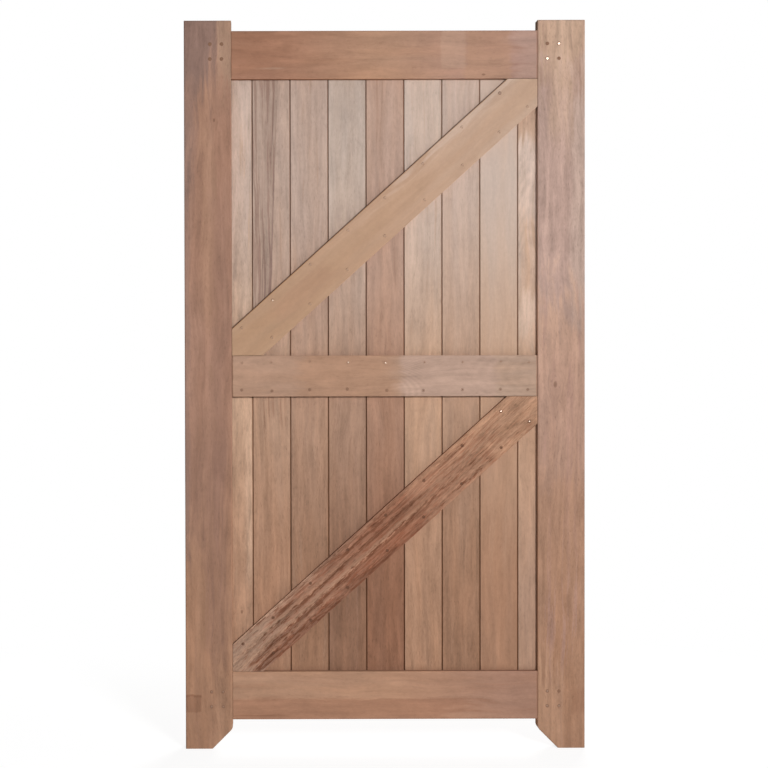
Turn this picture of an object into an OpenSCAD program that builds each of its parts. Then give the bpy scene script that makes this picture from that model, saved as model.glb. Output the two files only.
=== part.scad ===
// Garden gate leaf in hardwood: a pinned mortise and tenon frame that holds a panel of tongued and
// grooved boards, with a middle rail and two braces on one side.
//
// The origin is at the foot of the hanging stile, on its outer edge and midway through its thickness.
// X runs across the gate, Y from the braced side to the plain side, and Z up.

/* [Gate] */
// Overall width, over both stiles
gate_w = 1000; // [800:1:1200]
// Overall height, from the feet of the stiles to their tops
gate_h = 1820; // [1500:1:2100]

/* [Frame] */
// Width of each stile
stile_w = 118; // [100:1:150]
// Width of the top rail
top_rail_w = 120; // [100:1:150]
// Width of the bottom rail
bottom_rail_w = 120; // [100:1:180]
// Thickness of the stiles, the top rail and the bottom rail
frame_t = 45; // [42:1:60]
// Length of each stile above the top rail
top_horn = 26; // [10:1:60]
// Length of each stile below the bottom rail
foot_horn = 73; // [60:1:120]
// Leg of the 45 degree cut at the inner corner of each foot
foot_cut = 50; // [20:1:58]
// Radius of the rounded corner above that cut
foot_round = 20; // [5:1:40]
// Radius of the eased edges of the frame
frame_arris = 4; // [0.5:0.5:5]

/* [Corner joints] */
// Thickness of the tenons
tenon_t = 16; // [10:1:18]
// Wood left between the end of a mortise and the outer edge of its stile
mortise_wall = 28; // [15:1:35]
// Width cut away between a tenon and the outer edge of its rail
tenon_inset = 16; // [5:1:24]
// Clearance round a tenon in its mortise
tenon_clear = 0.2; // [0.1:0.1:0.5]
// Clearance between the end of a tenon and the end of its mortise
tenon_end_clear = 1.5; // [0.5:0.5:3]
// Gap that shows between the shoulder of a rail and its stile
shoulder_gap = 0.4; // [0.1:0.1:0.8]
// Diameter of the steel pins
pin_d = 8; // [5:0.5:10]
// Length of the steel pins
pin_l = 40; // [37:0.5:41]
// Clearance round a pin in its hole
pin_clear = 0.05; // [0.02:0.01:0.1]
// Distance from the shoulder of a rail to its first row of pins
pin_shoulder = 24; // [15:1:26]
// Distance between the two rows of pins across a joint
pin_row_step = 29; // [20:1:35]
// Distance from the outer edge of a rail to the nearest pins
pin_edge = 33; // [28:1:45]
// Distance between the pins along a stile
pin_step = 37; // [25:1:45]

/* [Panel] */
// Width that each full board covers, from one joint to the next
board_pitch = 95; // [80:1:120]
// Distance that the boards are set over to the lock side
panel_shift = 2; // [0:0.5:5]
// Thickness of the boards
board_t = 16; // [12:1:20]
// Gap that shows between the faces of neighbouring boards
board_gap = 3; // [1:0.5:6]
// Radius of the eased edges of the boards
board_arris = 1; // [0.5:0.5:2]
// Thickness of the tongues
tongue_t = 5; // [3:0.5:6]
// Length of a tongue inside the groove of the next board
tongue_reach = 6; // [4:0.5:9]
// Clearance round a tongue in its groove
tongue_clear = 0.2; // [0.1:0.1:0.5]
// Clearance between the edge of a tongue and the end of its groove
tongue_end_clear = 1; // [0.5:0.5:2]
// Depth of the groove in the frame that holds the panel
panel_groove = 14; // [10:1:18]
// Clearance on each face of the panel in that groove
panel_clear = 0.2; // [0.1:0.1:0.5]
// Room for movement between the panel and the end of that groove
panel_end_clear = 2; // [1:0.5:4]

/* [Middle rail and braces] */
// Width of the middle rail
middle_rail_w = 102; // [80:1:140]
// Width of each brace
brace_w = 102; // [70:1:140]
// Thickness of the middle rail and the braces
brace_t = 20; // [15:1:24]
// Radius of the eased edges of the middle rail and the braces
brace_arris = 1.5; // [0.5:0.5:3]
// Gap that shows at the ends of the middle rail and the braces
brace_gap = 0.8; // [0.2:0.1:1.5]

/* [Hidden] */
$fn = 48;

// Overshoot of a cut past the face that it opens
cut = 1;

// Heights of the rails
bottom_rail_z0 = foot_horn;
bottom_rail_z1 = bottom_rail_z0 + bottom_rail_w;
top_rail_z1 = gate_h - top_horn;
top_rail_z0 = top_rail_z1 - top_rail_w;
middle_rail_z0 = (bottom_rail_z1 + top_rail_z0 - middle_rail_w) / 2;
middle_rail_z1 = middle_rail_z0 + middle_rail_w;

// Depth of the layers, from the braced face of the frame inwards
braced_y = -frame_t / 2;
panel_y = braced_y + brace_t;
panel_mid_y = panel_y + board_t / 2;

// Opening between the stiles
opening_w = gate_w - 2 * stile_w;

// Tenons and mortises
mortise_depth = stile_w - mortise_wall;
tenon_l = mortise_depth - tenon_end_clear;
top_tenon_z = [top_rail_z0 + panel_groove, top_rail_z1 - tenon_inset];
bottom_tenon_z = [bottom_rail_z0 + tenon_inset, bottom_rail_z1 - panel_groove];

// Places of the pins in the left-hand joints
pin_xs = [for (i = [0:1]) stile_w - pin_shoulder - i * pin_row_step];
top_pin_zs = [for (i = [0:1]) top_rail_z1 - pin_edge - i * pin_step];
bottom_pin_zs = [for (i = [0:1]) bottom_rail_z0 + pin_edge + i * pin_step];

// The panel is set out from a board near the centre line, and a cut board fills each side
panel_entry = panel_groove - panel_end_clear;
side_boards = floor((opening_w - board_pitch) / 2 / board_pitch);
board_count = 2 * side_boards + 3;
first_joint_x = gate_w / 2 - (side_boards + 0.5) * board_pitch + panel_shift;
board_z0 = bottom_rail_z1 - panel_entry;
board_z1 = top_rail_z0 + panel_entry;

function joint_x(i) = first_joint_x + (i - 1) * board_pitch;
function board_left(i) = i == 1 ? stile_w - panel_entry : joint_x(i - 1) + board_gap / 2;
function board_right(i) = i == board_count ? gate_w - stile_w + panel_entry : joint_x(i) - board_gap / 2;

// Timber and metal colours
stile_tone = [0.65, 0.50, 0.42];
rail_tone = [0.68, 0.52, 0.42];
middle_rail_tone = [0.70, 0.58, 0.49];
upper_brace_tone = [0.73, 0.60, 0.49];
lower_brace_tone = [0.60, 0.44, 0.35];
board_tones = [[0.76, 0.66, 0.58], [0.66, 0.56, 0.49], [0.71, 0.60, 0.53]];
steel_tone = [0.72, 0.72, 0.72];

board_nodes = [for (i = [1:board_count]) str("board_", i)];

// Shared shapes

// A rectangle from the origin with its corners eased
module eased_rectangle(size, r) {
    translate([r, 0]) square([size.x - 2 * r, size.y]);
    translate([0, r]) square([size.x, size.y - 2 * r]);
    for (x = [r, size.x - r], y = [r, size.y - r]) translate([x, y]) circle(r);
}

// A length of eased timber along X, with its thickness along Y and its width along Z
module timber(length, thickness, width, r) {
    rotate([90, 0, 90]) linear_extrude(length) eased_rectangle([thickness, width], r);
}

// Whatever is made for the hanging side, on the lock side
module on_lock_side() {
    translate([gate_w, 0, 0]) mirror([1, 0, 0]) children();
}

// The four pins of a left-hand joint, or with a clearance the holes for them
module pins(zs, clear) {
    for (x = pin_xs, z = zs) {
        translate([x, braced_y, z]) rotate([-90, 0, 0])
            translate([0, 0, -clear]) cylinder(h = pin_l + 2 * clear, d = pin_d + 2 * clear);
    }
}

// Stiles

module mortise(zs) {
    translate([stile_w - mortise_depth, panel_mid_y - tenon_t / 2 - tenon_clear, zs[0] - tenon_clear])
        cube([mortise_depth + cut, tenon_t + 2 * tenon_clear, zs[1] - zs[0] + 2 * tenon_clear]);
}

module stile_groove() {
    z0 = bottom_rail_z1 - panel_groove;
    z1 = top_rail_z0 + panel_groove;
    translate([stile_w - panel_groove, panel_y - panel_clear, z0])
        cube([panel_groove + cut, board_t + 2 * panel_clear, z1 - z0]);
}

// Front outline of a stile, with its foot cut and the rounded corner above the cut
module stile_outline() {
    tangent = foot_round * tan(22.5);
    step = tangent * sin(45);
    polygon([
        [0, 0], [stile_w - foot_cut, 0], [stile_w - step, foot_cut - step], [stile_w, foot_cut + tangent],
        [stile_w, gate_h], [0, gate_h]
    ]);
    translate([stile_w - foot_round, foot_cut + tangent]) circle(foot_round);
}

// A stile before its joints are cut, with its long edges, its top and its foot cut eased
module stile_blank() {
    intersection() {
        translate([0, -braced_y, 0]) rotate([90, 0, 0]) linear_extrude(frame_t) stile_outline();
        translate([0, braced_y, -cut]) linear_extrude(gate_h + 2 * cut)
            eased_rectangle([stile_w, frame_t], frame_arris);
        translate([-cut, braced_y, -stile_w]) timber(stile_w + 2 * cut, frame_t, gate_h + stile_w, frame_arris);
        translate([stile_w - foot_cut, braced_y, 0]) rotate([0, -45, 0]) translate([-gate_h, 0, 0])
            timber(2 * gate_h, frame_t, gate_h + stile_w, frame_arris);
    }
}

module stile() {
    difference() {
        stile_blank();
        mortise(top_tenon_z);
        mortise(bottom_tenon_z);
        stile_groove();
        pins(top_pin_zs, pin_clear);
        pins(bottom_pin_zs, pin_clear);
    }
}

module hanging_stile() color(stile_tone) stile();
module lock_stile() color(stile_tone) on_lock_side() stile();

// Top and bottom rails

module tenon(zs) {
    translate([stile_w - tenon_l, panel_mid_y - tenon_t / 2, zs[0]])
        cube([tenon_l + shoulder_gap + cut, tenon_t, zs[1] - zs[0]]);
}

// A rail with a tenon at each end and a groove along the edge that faces the panel
module rail(z0, width, tenon_zs, groove_z, pin_zs) {
    difference() {
        union() {
            translate([stile_w + shoulder_gap, braced_y, z0])
                timber(opening_w - 2 * shoulder_gap, frame_t, width, frame_arris);
            tenon(tenon_zs);
            on_lock_side() tenon(tenon_zs);
        }
        translate([stile_w, panel_y - panel_clear, groove_z])
            cube([opening_w, board_t + 2 * panel_clear, panel_groove + cut]);
        pins(pin_zs, pin_clear);
        on_lock_side() pins(pin_zs, pin_clear);
    }
}

module top_rail() color(rail_tone)
    rail(top_rail_z0, top_rail_w, top_tenon_z, top_rail_z0 - cut, top_pin_zs);

module bottom_rail() color(rail_tone)
    rail(bottom_rail_z0, bottom_rail_w, bottom_tenon_z, bottom_rail_z1 - panel_groove, bottom_pin_zs);

// Middle rail and braces

module middle_rail() color(middle_rail_tone)
    translate([stile_w + brace_gap, braced_y, middle_rail_z0])
        timber(opening_w - 2 * brace_gap, brace_t, middle_rail_w, brace_arris);

// A brace along the diagonal of the opening between two heights, cut to fit both of its corners
module brace(z0, z1) {
    height = z1 - z0;
    diagonal = norm([opening_w, height]);
    intersection() {
        translate([gate_w / 2, braced_y, (z0 + z1) / 2]) rotate([0, -atan2(height, opening_w), 0])
            translate([-diagonal / 2 - brace_w, 0, -brace_w / 2])
                timber(diagonal + 2 * brace_w, brace_t, brace_w, brace_arris);
        translate([stile_w + brace_gap, braced_y - cut, z0 + brace_gap])
            cube([opening_w - 2 * brace_gap, brace_t + 2 * cut, height - 2 * brace_gap]);
    }
}

module upper_brace() color(upper_brace_tone) brace(middle_rail_z1, top_rail_z0);
module lower_brace() color(lower_brace_tone) brace(bottom_rail_z1, middle_rail_z0);

// Boards

module tongue(i) {
    translate([board_right(i) - board_arris, panel_mid_y - tongue_t / 2])
        square([board_arris + board_gap + tongue_reach, tongue_t]);
}

module tongue_groove(i) {
    translate([board_left(i) - cut, panel_mid_y - tongue_t / 2 - tongue_clear])
        square([cut + tongue_reach + tongue_end_clear, tongue_t + 2 * tongue_clear]);
}

module board(i) color(board_tones[i % len(board_tones)])
    translate([0, 0, board_z0]) linear_extrude(board_z1 - board_z0) difference() {
        union() {
            translate([board_left(i), panel_y])
                eased_rectangle([board_right(i) - board_left(i), board_t], board_arris);
            if (i < board_count) tongue(i);
        }
        if (i > 1) tongue_groove(i);
    }

// Corner pins

module top_hanging_pins() color(steel_tone) pins(top_pin_zs, 0);
module top_lock_pins() color(steel_tone) on_lock_side() pins(top_pin_zs, 0);
module bottom_hanging_pins() color(steel_tone) pins(bottom_pin_zs, 0);
module bottom_lock_pins() color(steel_tone) on_lock_side() pins(bottom_pin_zs, 0);

hanging_stile();
lock_stile();
top_rail();
bottom_rail();
middle_rail();
upper_brace();
lower_brace();
for (i = [1:board_count]) board(i);
top_hanging_pins();
top_lock_pins();
bottom_hanging_pins();
bottom_lock_pins();
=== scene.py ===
"""Looks of a framed and braced garden gate: its timbers, pin heads, nails and a white studio."""

import functools
import math
import random

import bpy
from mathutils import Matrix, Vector

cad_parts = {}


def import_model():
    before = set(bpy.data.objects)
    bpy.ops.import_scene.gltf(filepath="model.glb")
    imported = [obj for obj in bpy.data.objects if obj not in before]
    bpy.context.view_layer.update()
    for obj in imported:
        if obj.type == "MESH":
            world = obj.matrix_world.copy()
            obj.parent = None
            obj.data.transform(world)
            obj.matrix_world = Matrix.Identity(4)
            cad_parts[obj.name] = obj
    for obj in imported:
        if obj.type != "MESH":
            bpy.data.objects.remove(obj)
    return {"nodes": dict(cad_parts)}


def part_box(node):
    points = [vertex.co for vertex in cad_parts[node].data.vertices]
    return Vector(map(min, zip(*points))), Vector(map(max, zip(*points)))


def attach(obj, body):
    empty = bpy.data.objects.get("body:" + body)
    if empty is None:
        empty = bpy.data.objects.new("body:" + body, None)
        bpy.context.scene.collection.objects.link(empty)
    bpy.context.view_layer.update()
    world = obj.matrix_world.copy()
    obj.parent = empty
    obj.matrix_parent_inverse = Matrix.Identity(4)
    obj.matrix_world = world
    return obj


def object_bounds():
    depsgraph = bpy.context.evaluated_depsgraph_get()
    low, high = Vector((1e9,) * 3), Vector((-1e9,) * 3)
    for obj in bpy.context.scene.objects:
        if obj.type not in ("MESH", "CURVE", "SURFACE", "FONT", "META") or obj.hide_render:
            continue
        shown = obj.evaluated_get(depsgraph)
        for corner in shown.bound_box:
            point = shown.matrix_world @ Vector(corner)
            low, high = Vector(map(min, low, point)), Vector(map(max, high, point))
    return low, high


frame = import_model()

bl_info = {
    "name": "Garden Gate Looks",
    "version": (1, 0, 0),
    "blender": (4, 5, 0),
    "location": "View3D > Sidebar > Gate",
    "description": "Timber finishes, pin heads, nails and a white studio for a braced garden gate",
    "category": "Object",
}

CAD_BOX = [list(corner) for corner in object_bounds()]
BODY = "root"

# Faces and directions of the gate
BRACED_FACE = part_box("hanging_stile")[0].y
BOARDS = [f"board_{number}" for number in range(1, 10)]
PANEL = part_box("upper_brace")
BRACE_RISE = math.atan2(PANEL[1].z - PANEL[0].z, PANEL[1].x - PANEL[0].x)
UPRIGHT = -math.pi / 2
LEVEL = 0.0


def linear(tone):
    """Scene-linear colour of a tone that is written as the eye sees it."""
    shares = [int(tone[at:at + 2], 16) / 255 for at in (0, 2, 4)]
    return tuple(s / 12.92 if s <= 0.04045 else ((s + 0.055) / 1.055) ** 2.4 for s in shares)


# Tones of the unfinished timber, written as the eye sees them
TONES = {
    "cream": "CFB6A5",
    "shell": "CAB4A6",
    "pale shell": "C5B0A2",
    "pink beige": "C0A99B",
    "mushroom": "BBA89B",
    "pale rose": "B1958A",
    "dusk pink": "B79F91",
    "rose beige": "B59888",
    "grey brown": "AF988A",
    "oat": "C3A189",
    "light tan": "C0A18B",
    "honey": "BB9C84",
    "pale buff": "BA9C86",
    "fawn": "B8977F",
    "dusty rose": "AE8D7C",
    "sand": "B1917B",
    "pale clay": "B09481",
    "buff": "B29075",
    "tan": "B08A71",
    "clay": "AC8B76",
    "dull rose": "A88578",
    "red clay": "A98570",
    "ochre": "AA846B",
    "rosy brown": "A37E6B",
    "warm brown": "A37D65",
    "brown": "99755E",
    "brick": "A0745D",
    "red brown": "A27862",
    "umber": "8A6854",
    "rust": "8D6651",
    "purple brown": "8F6E5F",
    "purple grey": "8C7268",
    "smoke": "94776A",
    "red rust": "8A5843",
    "dark red": "744C3A",
    "bark": "5E4031",
}

BARK = (*linear(TONES["bark"]), 1.0)
WHOLE = (-1.0, 3.0)


def stain(tone, amount, along, across=WHOLE, lean=0.0, fade=0.006, ends=0.06, streaky=0.0):
    """A patch of another tone: where it lies in metres, its drift across per metre, and its softness."""
    return {
        "tone": linear(TONES[tone]), "amount": amount, "along": along, "across": across,
        "lean": lean, "fade": fade, "ends": ends, "streaky": streaky,
    }


def arch(along, across, curve, spacing, amount):
    """Arching rings: where they lie, how tight they curve, how far apart and how strong they are."""
    return {"along": along, "across": across, "curve": curve, "spacing": spacing, "amount": amount}


def knot(along, across, radius):
    """A small knot, in metres."""
    return {"along": along, "across": across, "radius": radius}


def timber(
        turn, tones, streak, figure, broad=1.0, wave=1.0, shreds=(0.3, 0.012), painted_upper_shadow=0.0, torn=0.0,
        stains=(), arches=(), knots=()):
    """A length of timber: direction and three tones of its grain, its streaks, figure and marks.

    The streaks have a tone, a strength and the share of the timber that they take up. The figure is
    the contrast of the grain at the start and the end, and broad that of its wide bands against its
    lines. Marks are placed in metres from the top, left or low end, and from the left or lower edge.
    Where an upright timber is paler at its start, the top, that is partly painted sheen of the light
    and partly the wood's own drift.
    """
    start, middle, end = (linear(TONES[tone]) for tone in tones)
    streak_tone, streaks, cover = streak
    values = {
        "turn": turn, "start": start, "middle": middle, "end": end,
        "streak": linear(TONES[streak_tone]), "streaks": streaks, "cover": cover,
        "figure": figure, "broad": broad, "wave": wave, "shreds": shreds, "painted_upper_shadow": painted_upper_shadow, "torn": torn,
    }
    return values, {"stains": stains, "arches": arches, "knots": knots}


def gate_timbers():
    """Every timber of the gate, by the name of its node."""
    # Painted shade along the foot of each board, where the bottom rail shades it
    painted_foot_shade = stain("umber", 0.55, (1.49, 2.0), ends=0.012)
    # Boards with no mark but the painted shade at the foot: their tones, streaks, figure, broad bands and
    # wave
    plain_boards = {
        "board_3": (("dusk pink", "clay", "brown"), ("clay", 0.4, 0.35), (0.82, 1.3), 0.55, 0.7),
        "board_4": (("mushroom", "clay", "umber"), ("smoke", 0.25, 0.3), (0.69, 1.3), 0.7, 0.7),
        "board_5": (("rose beige", "red clay", "rust"), ("rust", 0.3, 0.3), (0.72, 1.2), 0.7, 0.8),
        "board_6": (("pale shell", "fawn", "ochre"), ("tan", 0.28, 0.4), (0.65, 1.15), 0.7, 0.8),
        "board_7": (("pink beige", "sand", "brown"), ("clay", 0.2, 0.3), (0.6, 1.25), 0.6, 0.8),
        "board_8": (("pale shell", "fawn", "warm brown"), ("fawn", 0.15, 0.25), (0.16, 0.8), 0.6, 0.8),
    }
    # Dark flakes of the torn brace: amount, along, across, lean, fade, ends and streaky, as for a stain
    flakes = [
        (1.0, (0.03, 0.30), (0.003, 0.020), 0.0, 0.003, 0.03, 0.6),
        (0.7, (0.30, 0.50), (0.003, 0.016), 0.0, 0.003, 0.03, 0.8),
        (0.95, (0.05, 0.62), (0.058, 0.0665), 0.002, 0.002, 0.05, 0.6),
        (0.95, (0.17, 0.23), (0.076, 0.087), 0.0, 0.003, 0.02, 0.6),
        (0.95, (0.34, 0.56), (0.077, 0.086), 0.0, 0.002, 0.03, 0.55),
        (0.8, (0.06, 0.40), (0.093, 0.099), 0.0, 0.002, 0.03, 0.8),
        (0.95, (0.06, 0.60), (0.029, 0.038), 0.004, 0.002, 0.04, 0.65),
        (0.75, (0.60, 0.86), (0.034, 0.041), 0.0, 0.003, 0.05, 0.8),
        (0.9, (0.65, 0.84), (0.009, 0.016), 0.0, 0.003, 0.03, 0.7),
        (0.8, (0.29, 0.33), (0.002, 0.006), 0.0, 0.002, 0.01, 0.0),
        (0.9, (0.73, 0.85), (0.083, 0.090), 0.0, 0.002, 0.02, 0.75),
        (0.8, (0.505, 0.53), (0.083, 0.087), 0.0, 0.002, 0.008, 0.0),
    ]
    return {
        "hanging_stile": timber(
            UPRIGHT, ("rosy brown", "rosy brown", "warm brown"), ("purple brown", 0.28, 0.4), (0.8, 0.8),
            wave=1.3,
            stains=[
                stain("purple grey", 0.85, (-1.0, 0.16), (-1.0, 0.088), lean=-0.1, fade=0.018, ends=0.05),
                stain("purple grey", 0.6, (0.10, 0.42), (-1.0, 0.056), lean=-0.1, fade=0.012, ends=0.09),
                stain("sand", 0.7, (-1.0, 0.16), (0.084, 1.0), fade=0.008),
                stain("tan", 0.4, (0.2, 0.75), (0.04, 0.075), fade=0.014, ends=0.12),
                stain("purple brown", 0.3, (0.40, 1.15), (0.066, 1.0), fade=0.012, streaky=0.4),
                stain("purple brown", 0.75, (1.02, 1.60), (0.055, 0.106), fade=0.008, streaky=0.4),
                stain("purple brown", 0.55, (1.0, 1.3), (-1.0, 0.05), fade=0.012, ends=0.09, streaky=0.3),
                stain("purple grey", 0.5, (0.25, 1.30), (-1.0, 0.012)),
                stain("tan", 0.4, (1.64, 3.0), (0.075, 1.0), fade=0.01),
                stain("brown", 0.4, (1.36, 1.54), (-1.0, 0.05), fade=0.012),
                stain("dark red", 0.3, (1.686, 1.728), (-1.0, 0.039), fade=0.002, ends=0.002),
                stain("dark red", 0.35, (1.684, 1.690), (-1.0, 0.039), fade=0.002, ends=0.002),
            ],
            knots=[knot(0.248, 0.075, 0.0024)]),
        "lock_stile": timber(
            UPRIGHT, ("light tan", "dusty rose", "warm brown"), ("dull rose", 0.6, 0.5), (1.3, 0.95),
            broad=0.7,
            stains=[
                # The pale rose and pink beige patches high up are partly the wood's pinkish figure, partly
                # painted sheen of the light
                stain("pale rose", 0.9, (0.15, 0.70), fade=0.01, ends=0.09),
                stain("pink beige", 0.45, (0.15, 0.70), (0.084, 1.0), fade=0.012, ends=0.09),
                stain("light tan", 0.6, (-1.0, 0.30), (0.03, 0.085), fade=0.012, streaky=0.4),
                stain("dull rose", 0.3, (0.09, 0.19), (0.088, 0.106), fade=0.005, ends=0.02),
                stain("warm brown", 0.5, (1.15, 1.40), fade=0.01, ends=0.04),
                stain("tan", 0.8, (1.62, 3.0), (-1.0, 0.066), fade=0.008),
                stain("rust", 0.35, (1.675, 1.735), (0.085, 1.0), fade=0.008, ends=0.01),
            ],
            knots=[knot(0.909, 0.044, 0.0042)]),
        "top_rail": timber(
            LEVEL, ("red brown", "tan", "dull rose"), ("rust", 0.1, 0.3), (0.6, 0.6),
            broad=1.1, wave=1.5,
            stains=[
                stain("rust", 0.32, (-1.0, 0.22), (0.045, 1.0), fade=0.008),
                stain("light tan", 0.4, (0.16, 0.21), (0.024, 0.028), fade=0.002, ends=0.02),
                stain("light tan", 0.3, (0.612, 0.6725), (0.024, 1.0), fade=0.004, ends=0.003),
                stain("tan", 0.6, (0.6725, 0.785), fade=0.004, ends=0.008),
                stain("rosy brown", 0.45, (0.70, 0.80), (0.062, 1.0), fade=0.01, ends=0.03),
                stain("grey brown", 0.3, (0.80, 2.0), fade=0.004, ends=0.03),
                # Painted shade in the joint at the lock stile, on the end of the rail
                stain("rust", 0.6, (0.8495, 2.0), fade=0.002, ends=0.001),
            ],
            knots=[knot(0.7175, 0.010, 0.0024)]),
        "bottom_rail": timber(
            LEVEL, ("tan", "tan", "rosy brown"), ("brick", 0.3, 0.3), (0.6, 0.5),
            broad=1.1,
            stains=[
                stain("brick", 0.6, (-1.0, 0.68), (-1.0, 0.053)),
                stain("dark red", 0.35, (0.10, 0.2), (0.008, 0.011), fade=0.002, ends=0.03),
                # Painted shade in the joint at the lock stile, on the end of the rail
                stain("rust", 0.7, (0.8495, 2.0), fade=0.002, ends=0.001),
            ]),
        "middle_rail": timber(
            LEVEL, ("clay", "clay", "pale clay"), ("clay", 0.3, 0.35), (0.62, 0.62),
            broad=1.1, wave=1.5,
            stains=[
                stain("ochre", 0.6, (0.17, 0.40), fade=0.01, ends=0.02),
                stain("rose beige", 0.85, (0.422, 0.66), fade=0.01, ends=0.012),
                # Painted shade in the joints at both stiles, on the ends of the rail
                stain("rust", 0.6, (-1.0, 0.0025), ends=0.001),
                stain("rust", 0.6, (0.7595, 2.0), ends=0.001),
            ],
            arches=[
                arch((0.42, 0.475), 0.012, 25.0, 0.016, 0.05),
                arch((0.60, 0.74), 0.055, -20.0, 0.03, 0.03),
            ]),
        "upper_brace": timber(
            BRACE_RISE, ("buff", "fawn", "pale buff"), ("buff", 0.1, 0.2), (0.2, 0.17),
            # This brace carries a painted shadow along its upper edge
            broad=2.0, wave=1.5, painted_upper_shadow=0.8,
            stains=[
                stain("tan", 0.5, (0.14, 0.34), (0.022, 0.075), fade=0.012, ends=0.04),
                stain("buff", 0.5, (0.30, 0.62), (0.03, 0.08), fade=0.016, ends=0.08),
                stain("shell", 0.45, (0.62, 1.1), (0.085, 1.0), fade=0.01, ends=0.1),
                stain("shell", 0.15, (0.80, 1.1), (-1.0, 0.016), fade=0.008, ends=0.1),
            ]),
        "lower_brace": timber(
            BRACE_RISE, ("clay", "brick", "ochre"), ("red rust", 0.5, 0.5), (1.5, 1.5),
            broad=0.6, wave=0.3, shreds=(0.045, 0.005), torn=1.0,
            stains=[
                stain("red rust", 0.9, (0.07, 0.58), (-1.0, 0.046), ends=0.05, streaky=0.4),
                stain("red rust", 0.75, (0.15, 0.58), (0.052, 0.094), ends=0.05, streaky=0.5),
                stain("red rust", 0.38, (0.56, 0.9), (0.004, 0.094), streaky=0.8),
                stain("tan", 0.6, (0.03, 0.34), (0.024, 0.029), fade=0.002, ends=0.04, streaky=0.5),
                stain("tan", 0.6, (0.03, 0.62), (0.0415, 0.0495), fade=0.002, streaky=0.3),
                stain("tan", 0.5, (0.03, 0.40), (0.0675, 0.0745), fade=0.002, streaky=0.4),
                *(stain("dark red", *values) for values in flakes),
            ]),
        "board_1": timber(
            UPRIGHT, ("pink beige", "honey", "tan"), ("fawn", 0.5, 0.35), (1.0, 1.3),
            broad=0.9, wave=0.8,
            stains=[
                stain("dusk pink", 0.5, (-1.0, 0.5), (-1.0, 0.024)),
                stain("oat", 0.7, (0.8, 1.25), (0.045, 1.0)),
                painted_foot_shade,
            ],
            knots=[knot(1.345, 0.035, 0.0026)]),
        "board_2": timber(
            UPRIGHT, ("dusk pink", "sand", "warm brown"), ("warm brown", 0.25, 0.35), (0.9, 1.2),
            broad=0.7, wave=0.6, shreds=(0.25, 0.007),
            stains=[
                stain("grey brown", 0.6, (-1.0, 0.62), (-1.0, 0.0632), lean=-0.032, fade=0.0012),
                stain("smoke", 0.65, (-1.0, 0.62), (-1.0, 0.030), lean=-0.032, fade=0.003, streaky=1.0),
                stain("smoke", 0.8, (-1.0, 0.62), (0.028, 0.0628), lean=-0.032, fade=0.0015,
                      streaky=0.85),
                stain("purple grey", 0.6, (0.40, 0.64), (0.036, 0.0625), lean=-0.032, fade=0.003,
                      ends=0.03, streaky=0.9),
                stain("purple grey", 0.7, (0.24, 0.62), (0.0595, 0.063), lean=-0.032, fade=0.001,
                      ends=0.03),
                stain("dark red", 0.35, (0.80, 0.87), (0.02, 0.08), fade=0.004, ends=0.02, streaky=1.0),
                painted_foot_shade,
            ]),
        **{name: timber(UPRIGHT, *values, stains=[painted_foot_shade]) for name, values in plain_boards.items()},
        "board_9": timber(
            UPRIGHT, ("shell", "fawn", "clay"), ("fawn", 0.4, 0.35), (0.93, 0.93),
            broad=0.8, wave=1.5,
            stains=[
                stain("fawn", 0.75, (-1.0, 0.17), ends=0.025),
                stain("fawn", 0.7, (0.36, 0.56), (0.008, 0.044), fade=0.008, ends=0.03, streaky=0.5),
                stain("cream", 0.5, (0.56, 0.66), fade=0.008, ends=0.04),
                painted_foot_shade,
            ],
            arches=[arch((0.22, 0.44), 0.03, -60.0, 0.035, 0.035)]),
    }


# Properties

ToneProperty = functools.partial(bpy.props.FloatVectorProperty, subtype="COLOR", size=3, min=0, max=1)
ShareProperty = functools.partial(bpy.props.FloatProperty, subtype="FACTOR", min=0, max=1)
LengthProperty = functools.partial(bpy.props.FloatProperty, unit="LENGTH")
ReachProperty = functools.partial(bpy.props.FloatVectorProperty, size=2, unit="LENGTH")
PlaceProperty = functools.partial(bpy.props.FloatVectorProperty, subtype="XYZ", unit="LENGTH")
AngleProperty = functools.partial(bpy.props.FloatProperty, subtype="ANGLE")


class StainLook(bpy.types.PropertyGroup):
    """A patch of another tone that follows the grain"""

    tone: ToneProperty(
        name="Tone", description="Colour of the patch", default=linear(TONES["purple brown"]))
    amount: ShareProperty(name="Amount", description="How much of its tone the patch takes", default=0.5)
    along: ReachProperty(
        name="Along", description="Where the patch starts and ends along the grain", default=(0, 1))
    across: ReachProperty(
        name="Across", description="Where the patch starts and ends across the grain", default=(0, 0.05))
    lean: bpy.props.FloatProperty(
        name="Lean", description="How far the patch drifts across, per length along", default=0)
    fade: LengthProperty(name="Fade", description="Softness of the edges across the grain", default=0.006)
    ends: LengthProperty(name="Ends", description="Softness of the ends along the grain", default=0.06)
    streaky: ShareProperty(
        name="Streaky", description="How far the patch breaks up into streaks", default=0)


class KnotLook(bpy.types.PropertyGroup):
    """A small knot that the grain runs round"""

    along: LengthProperty(name="Along", description="Place of the knot along the grain", default=0.5)
    across: LengthProperty(name="Across", description="Place of the knot across the grain", default=0.05)
    radius: LengthProperty(name="Radius", description="Radius of the knot", default=0.004)


class ArchLook(bpy.types.PropertyGroup):
    """Arching rings where the saw has met the growth of the tree"""

    along: ReachProperty(
        name="Along", description="Where the rings start and end along the grain", default=(0, 0.2))
    across: LengthProperty(
        name="Across", description="Line across the grain on which the rings peak", default=0.03)
    curve: bpy.props.FloatProperty(
        name="Curve", description="How tight the rings curve, and to which end they point", default=40)
    spacing: LengthProperty(name="Spacing", description="Distance from ring to ring", default=0.03)
    amount: ShareProperty(name="Amount", description="Contrast of the rings", default=0.05)


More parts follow.
